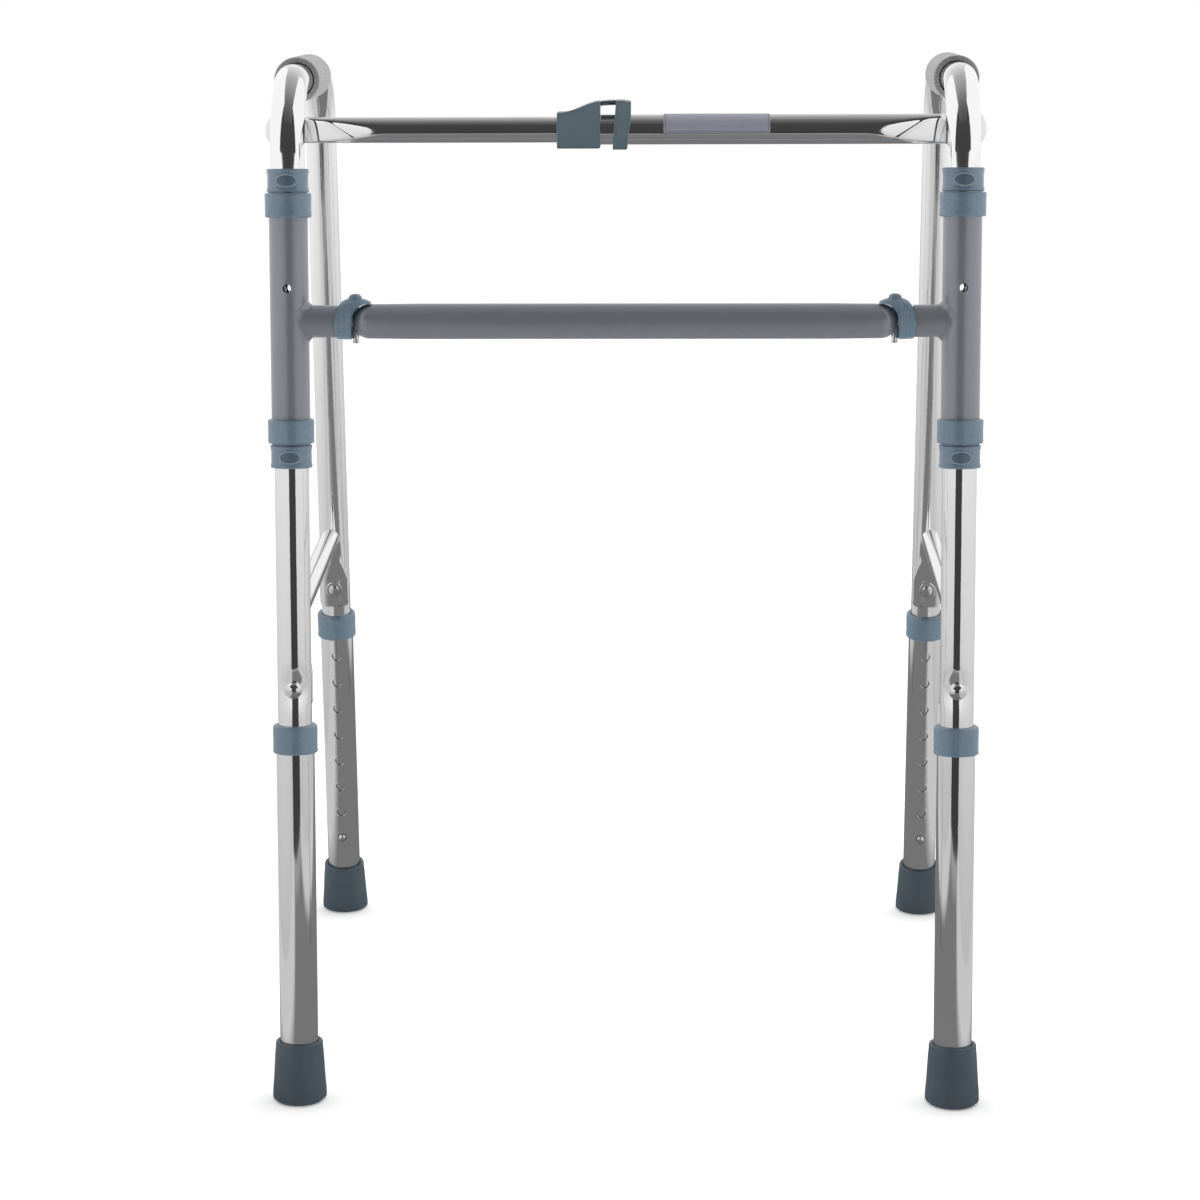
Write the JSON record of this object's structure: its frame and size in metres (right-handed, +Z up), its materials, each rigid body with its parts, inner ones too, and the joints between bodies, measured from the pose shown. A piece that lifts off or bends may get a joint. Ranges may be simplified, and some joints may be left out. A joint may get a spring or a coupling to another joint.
{
  "type": "folding reciprocal walking frame",
  "caption": "Aluminium walking frame with two hinged side frames, a grey front bar on pivot clips, a telescopic upper bar with a latch and height adjustable legs with rubber tips.",
  "frame": {"origin": "centre of the bounding box, on the floor", "axes": "+X to the right seen from the front, +Y towards the user (open side), +Z up"},
  "size_m": [0.567, 0.5104, 0.7794],
  "materials": {
    "polished_aluminium": "polished",
    "grey_paint": "satin",
    "blue_grey_plastic": "satin",
    "latch_plastic": "satin",
    "grey_grip": "matte",
    "slate_rubber": "matte",
    "steel": "polished",
    "label_film": "satin"
  },
  "bodies": {
    "front_bar": {"lower_bar": "grey_paint"},
    "left_hinge_frame": {"left_hinge_sleeve": "grey_paint", "left_bar_stub": "grey_paint", "left_bar_clip": "blue_grey_plastic", "left_pivot_pin": "steel", "left_lower_hinge_bush": "blue_grey_plastic", "left_upper_hinge_bush": "blue_grey_plastic"},
    "left_side": {"left_side_tube": "polished_aluminium", "left_hand_grip": "grey_grip", "left_side_brace": "polished_aluminium", "left_front_brace_rivet": "steel", "left_rear_brace_rivet": "steel", "left_lower_stop_collar": "blue_grey_plastic", "left_upper_stop_collar": "blue_grey_plastic", "left_front_button_spring": "steel", "left_rear_button_spring": "steel"},
    "left_front_leg": {"left_front_leg_extension": "polished_aluminium", "left_front_leg_collar": "blue_grey_plastic", "left_front_rubber_tip": "slate_rubber"},
    "left_front_button": {"left_front_snap_button": "steel"},
    "left_rear_leg": {"left_rear_leg_extension": "polished_aluminium", "left_rear_leg_collar": "blue_grey_plastic", "left_rear_rubber_tip": "slate_rubber"},
    "left_rear_button": {"left_rear_snap_button": "steel"},
    "right_hinge_frame": {"right_hinge_sleeve": "grey_paint", "right_bar_stub": "grey_paint", "right_bar_clip": "blue_grey_plastic", "right_pivot_pin": "steel", "right_lower_hinge_bush": "blue_grey_plastic", "right_upper_hinge_bush": "blue_grey_plastic"},
    "right_side": {"right_side_tube": "polished_aluminium", "right_hand_grip": "grey_grip", "right_side_brace": "polished_aluminium", "right_front_brace_rivet": "steel", "right_rear_brace_rivet": "steel", "right_lower_stop_collar": "blue_grey_plastic", "right_upper_stop_collar": "blue_grey_plastic", "right_front_button_spring": "steel", "right_rear_button_spring": "steel"},
    "right_front_leg": {"right_front_leg_extension": "polished_aluminium", "right_front_leg_collar": "blue_grey_plastic", "right_front_rubber_tip": "slate_rubber"},
    "right_front_button": {"right_front_snap_button": "steel"},
    "right_rear_leg": {"right_rear_leg_extension": "polished_aluminium", "right_rear_leg_collar": "blue_grey_plastic", "right_rear_rubber_tip": "slate_rubber"},
    "right_rear_button": {"right_rear_snap_button": "steel"},
    "upper_inner": {"upper_inner_tube": "polished_aluminium"},
    "upper_outer": {"upper_outer_tube": "polished_aluminium", "latch_housing": "latch_plastic", "plain_label": "label_film"},
    "latch": {"latch_lever": "latch_plastic"}
  },
  "joints": [
    {"name": "left_swing", "type": "hinge", "parent": "front_bar", "child": "left_hinge_frame", "pos_m": [-0.1986, -0.19375, 0.5885], "axis": [0, 0, 1], "range_deg": [-15, 15]},
    {"name": "right_swing", "type": "hinge", "parent": "front_bar", "child": "right_hinge_frame", "pos_m": [0.1986, -0.19375, 0.5885], "axis": [0, 0, 1], "range_deg": [-15, 15]},
    {"name": "left_fold", "type": "hinge", "parent": "left_hinge_frame", "child": "left_side", "pos_m": [-0.2475, -0.19375, 0.5885], "axis": [0, -0.0698, -0.9976], "range_deg": [0, 80]},
    {"name": "right_fold", "type": "hinge", "parent": "right_hinge_frame", "child": "right_side", "pos_m": [0.2475, -0.19375, 0.5885], "axis": [0, -0.0698, -0.9976], "range_deg": [-80, 0]},
    {"name": "upper_bar_turn", "type": "hinge", "parent": "left_hinge_frame", "child": "upper_inner", "pos_m": [-0.2475, -0.18406, 0.727], "axis": [0, 0, -1], "range_deg": [-12.05, 12.05]},
    {"name": "upper_bar_slide", "type": "slide", "parent": "upper_inner", "child": "upper_outer", "axis": [-1, 0, 0], "range_m": [0, 0.0027]},
    {"name": "latch_release", "type": "hinge", "parent": "upper_outer", "child": "latch", "pos_m": [-0.018, -0.15966, 0.746], "axis": [0, -1, 0], "range_deg": [0, 4], "stiffness_Nm_per_rad": 0.6, "springref_deg": -4.58},
    {"name": "left_front_leg_slide", "type": "slide", "parent": "left_side", "child": "left_front_leg", "axis": [0, -0.0698, -0.9976], "range_m": [0, 0.1524]},
    {"name": "left_front_button_press", "type": "slide", "parent": "left_side", "child": "left_front_button", "axis": [0.0332, -0.997, 0.0697], "range_m": [0, 0.005], "stiffness_N_per_m": 500, "springref_m": -0.002},
    {"name": "left_rear_leg_slide", "type": "slide", "parent": "left_side", "child": "left_rear_leg", "axis": [-0.0077, 0.1649, -0.9863], "range_m": [0, 0.1524]},
    {"name": "left_rear_button_press", "type": "slide", "parent": "left_side", "child": "left_rear_button", "axis": [-0.0322, 0.9858, 0.1651], "range_m": [0, 0.005], "stiffness_N_per_m": 500, "springref_m": -0.002},
    {"name": "right_front_leg_slide", "type": "slide", "parent": "right_side", "child": "right_front_leg", "axis": [0, -0.0698, -0.9976], "range_m": [0, 0.1524]},
    {"name": "right_front_button_press", "type": "slide", "parent": "right_side", "child": "right_front_button", "axis": [-0.0332, -0.997, 0.0697], "range_m": [0, 0.005], "stiffness_N_per_m": 500, "springref_m": -0.002},
    {"name": "right_rear_leg_slide", "type": "slide", "parent": "right_side", "child": "right_rear_leg", "axis": [0.0077, 0.1649, -0.9863], "range_m": [0, 0.1524]},
    {"name": "right_rear_button_press", "type": "slide", "parent": "right_side", "child": "right_rear_button", "axis": [0.0322, 0.9858, 0.1651], "range_m": [0, 0.005], "stiffness_N_per_m": 500, "springref_m": -0.002}
  ],
  "couplings": [
    {"joint": "right_swing", "follows": "left_swing", "ratio": 1},
    {"joint": "upper_bar_turn", "follows": "left_swing", "ratio": 0.8033}
  ]
}
